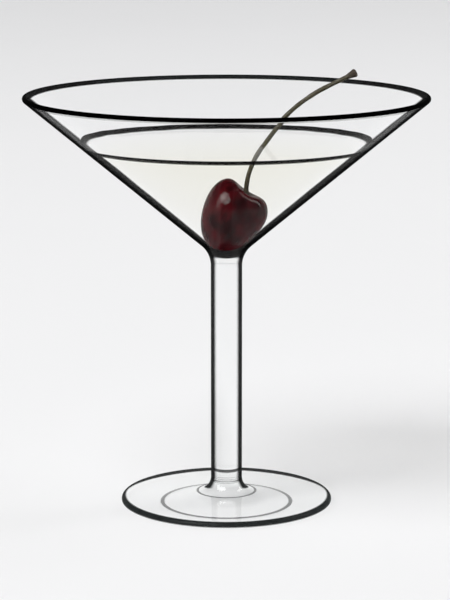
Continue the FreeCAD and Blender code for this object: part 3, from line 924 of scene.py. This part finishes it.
def drink_grid(drink, glass, stalk, line):
    """The drink's skin, from the axis up the wall and in over its surface to the stalk.

    Under the surface it is the bowl's inner outline, moved out into the wall and turned about the
    axis. The surface is drawn on straight lines from the wall to the stalk, in steps that are short
    at both, and its height is the level plus a climb at the wall and one at the stalk, each climb
    times exp(-distance / reach).
    """
    bowl = Bowl(glass)
    into_wall = WALL_OVERLAP / math.cos(bowl.slant)
    top = drink.level + drink.meniscus
    bottom_radius = glass.bottom_radius + WALL_OVERLAP
    bottom = arc((0, bowl.bottom), bottom_radius, -math.pi / 2, -bowl.slant, 16)
    wall_radius = bowl.radius(top)
    side = turned(
        chain(bottom, straight(bottom[-1], (wall_radius + into_wall, top), 40)), COLUMNS
    )

    hole = line.crossing(drink.level)
    inwards = smooth_step(unit_steps(90)[1:, None, None], 0.0, 1.0)
    surface = side[-1] + inwards * (hole - side[-1])
    from_wall = np.maximum(wall_radius - np.hypot(surface[..., 0], surface[..., 1]), 0.0)
    from_stalk = np.hypot(surface[..., 0] - hole[0], surface[..., 1] - hole[1]) - stalk.radius
    climb = np.exp(-from_wall / drink.meniscus_reach) + STALK_CLIMB * np.exp(
        -np.maximum(from_stalk, 0.0) / drink.meniscus_reach
    )
    surface[..., 2] = drink.level + drink.meniscus * climb
    return np.concatenate([side, surface])


def clear_drink(drink, glass):
    """The clear drink: a faint tint through its depth, a glossy surface that is not quite still, and a
    line of painted shade where that surface climbs the glass and the stalk. It lets light straight
    through, so that the cherry and the stalk are seen unbroken. Against the glass it has no surface of
    its own but for that painted dark line, which there reaches a little lower."""
    finish = Finish(bpy.data.materials.new("clear_drink"))
    bowl = Bowl(glass)
    x, y, height = finish.axes()
    inner_radius = (height - bowl.apex) * math.tan(bowl.slant)
    against = finish.rise((x * x + y * y) ** 0.5 - inner_radius, 0.0, WALL_OVERLAP)
    on_top = finish.rise(height, drink.level - 0.0004, drink.level - 0.0002)
    low, high = (drink.level + share * drink.meniscus for share in CLIMB_BAND)
    climb = finish.rise(height + CLIMB_DROP * against, low, high)
    # The dark line where the surface climbs is painted shade: a dark see-through colour on the meniscus.
    dark = finish.see_through(tuple(drink.painted_edge_shade_colour))
    body = finish.mix(0.94 * climb, finish.see_through(), dark)
    ripples = finish.bump(finish.noise(60.0, 1.0), 0.00008)
    fresnel = finish.node("ShaderNodeFresnel", {}, {"IOR": drink.ior, "Normal": ripples})
    front = 1.0 - finish.node("ShaderNodeNewGeometry", output="Backfacing")
    gloss = fresnel * drink.gloss * on_top * front
    shader = finish.mix(gloss, body, finish.mirror(0.0, ripples))
    inside = finish.node(
        "ShaderNodeVolumeAbsorption", {}, {"Color": tuple(drink.tint), "Density": drink.density}
    )
    return finish.finish(lit_through(finish, shader, 0.95), inside)


class COCKTAIL_OT_drink(bpy.types.Operator):
    """Makes the drink, which climbs a little at the glass and at the stalk"""

    bl_idname = "cocktail.drink"
    bl_label = "Make Drink"

    def execute(self, context):
        scene = context.scene
        drink, glass = scene.cocktail_drink, scene.cocktail_glass
        grid = drink_grid(drink, glass, scene.cocktail_stalk, make_line(scene))
        settle(closed_mesh("drink_in_the_bowl", grid), "drink", clear_drink(drink, glass))
        return {"FINISHED"}


# ---------------------------------------------------------------------------------------------
# The stage


def pale_floor(stage):
    """A matt pale floor with faint clouds and a fine grain."""
    finish = Finish(bpy.data.materials.new("pale_floor"))
    clouds = finish.noise(4.0, 3.0)
    grain = finish.noise(900.0, 2.0)
    pale = tuple(stage.floor_colour)
    shader = finish.node(
        "ShaderNodeBsdfPrincipled",
        {},
        {
            "Base Color": finish.blend(clouds, tuple(0.985 * tone for tone in pale), pale),
            "Roughness": 0.7 + 0.1 * grain,
            "Specular IOR Level": 0.2,
            "Normal": finish.bump(grain, 0.00003),
        },
    )
    return finish.finish(shader)


def studio_world(stage):
    """Pale surroundings from the floor up to the height of a wall, and a dark ceiling."""
    finish = Finish(bpy.data.worlds.new("studio"))
    way = finish.node("ShaderNodeTexCoord", output="Generated")
    height = finish.node("ShaderNodeSeparateXYZ", {}, {"Vector": way}, "Z")
    wall, ceiling = tuple(stage.sky_colour), tuple(stage.ceiling_colour)
    tone = finish.node(
        "ShaderNodeValToRGB",
        {"stops": [(0.0, wall), (0.26, wall), (0.48, ceiling), (1.0, ceiling)]},
        {"Fac": height},
        "Color",
    )
    light = finish.node("ShaderNodeBackground", {}, {"Color": tone, "Strength": 1.0})
    finish.node("ShaderNodeOutputWorld", {}, {"Surface": light})
    return finish.owner


def softbox(name, place, size, power, target):
    """A rectangular area light at that place, of that width and height, facing its target."""
    lamp = bpy.data.lights.new(name, "AREA")
    lamp.shape = "RECTANGLE"
    lamp.size, lamp.size_y = size
    lamp.energy = power
    holder = bpy.data.objects.new(name, lamp)
    bpy.context.scene.collection.objects.link(holder)
    holder.location = place
    holder.rotation_euler = (Vector(target) - Vector(place)).to_track_quat("-Z", "Y").to_euler()
    holder.visible_camera = False


class COCKTAIL_OT_stage(bpy.types.Operator):
    """Sets the stage: a pale floor, soft studio light and the camera"""

    bl_idname = "cocktail.stage"
    bl_label = "Set Stage"

    def execute(self, context):
        scene = context.scene
        stage = scene.cocktail_stage
        middle = (0.0, 0.0, scene.cocktail_glass.height / 2)

        mesh = bpy.data.meshes.new("floor")
        signs = ((-1, -1), (1, -1), (1, 1), (-1, 1))
        corners = [(i * FLOOR_HALF, j * FLOOR_HALF, -FLOOR_DROP) for i, j in signs]
        mesh.from_pydata(corners, [], [(0, 1, 2, 3)])
        mesh.materials.append(pale_floor(stage))
        floor = bpy.data.objects.new("floor", mesh)
        scene.collection.objects.link(floor)

        scene.world = studio_world(stage)
        key = bpy.data.lights.new("key", "SUN")
        key.energy = stage.sun_strength
        key.angle = math.radians(KEY_SPREAD)
        holder = bpy.data.objects.new("key", key)
        scene.collection.objects.link(holder)
        holder.rotation_euler = [math.radians(turn) for turn in KEY_TURN]
        softbox("left_softbox", (-2.0, -1.1, 2.0), (1.1, 2.0), 30.0, middle)
        softbox("right_softbox", (2.0, 0.7, 1.8), (0.7, 1.8), 17.0, middle)

        lens = bpy.data.cameras.new("camera")
        lens.lens = stage.focal_length
        lens.sensor_width = 36.0
        camera = bpy.data.objects.new("camera", lens)
        scene.collection.objects.link(camera)
        camera.location = (stage.camera_side, -stage.camera_distance, stage.camera_height)
        camera.rotation_euler = (math.pi / 2 - stage.camera_pitch, 0.0, 0.0)
        scene.camera = camera

        scene.view_settings.view_transform = "Standard"
        scene.cycles.max_bounces = 32
        scene.cycles.transmission_bounces = 32
        scene.cycles.transparent_max_bounces = 32
        return {"FINISHED"}


# ---------------------------------------------------------------------------------------------
# The sidebar


SECTIONS = (
    ("cocktail_glass", "cocktail.glass", GlassSettings),
    ("cocktail_drink", "cocktail.drink", DrinkSettings),
    ("cocktail_cherry", "cocktail.cherry", CherrySettings),
    ("cocktail_stalk", "cocktail.stalk", StalkSettings),
    ("cocktail_stage", "cocktail.stage", StageSettings),
)


class COCKTAIL_PT_panel(bpy.types.Panel):
    """Lists the operators, each with its sizes and colours"""

    bl_idname = "COCKTAIL_PT_panel"
    bl_label = "Martini Cocktail"
    bl_space_type = "VIEW_3D"
    bl_region_type = "UI"
    bl_category = "Cocktail"

    def draw(self, context):
        for attribute, operator, group in SECTIONS:
            box = self.layout.box()
            box.operator(operator)
            for name in group.__annotations__:
                box.prop(getattr(context.scene, attribute), name)


OPERATORS = (
    COCKTAIL_OT_glass,
    COCKTAIL_OT_drink,
    COCKTAIL_OT_cherry,
    COCKTAIL_OT_stalk,
    COCKTAIL_OT_stage,
)


def register():
    for attribute, _, group in SECTIONS:
        bpy.utils.register_class(group)
        setattr(bpy.types.Scene, attribute, PointerProperty(type=group))
    for operator in OPERATORS:
        bpy.utils.register_class(operator)
    bpy.utils.register_class(COCKTAIL_PT_panel)


def unregister():
    bpy.utils.unregister_class(COCKTAIL_PT_panel)
    for operator in reversed(OPERATORS):
        bpy.utils.unregister_class(operator)
    for attribute, _, group in reversed(SECTIONS):
        delattr(bpy.types.Scene, attribute)
        bpy.utils.unregister_class(group)


def main():
    """Makes every piece and the stage."""
    register()
    bpy.ops.cocktail.glass()
    bpy.ops.cocktail.drink()
    bpy.ops.cocktail.cherry()
    bpy.ops.cocktail.stalk()
    bpy.ops.cocktail.stage()


if __name__ == "__main__":
    main()
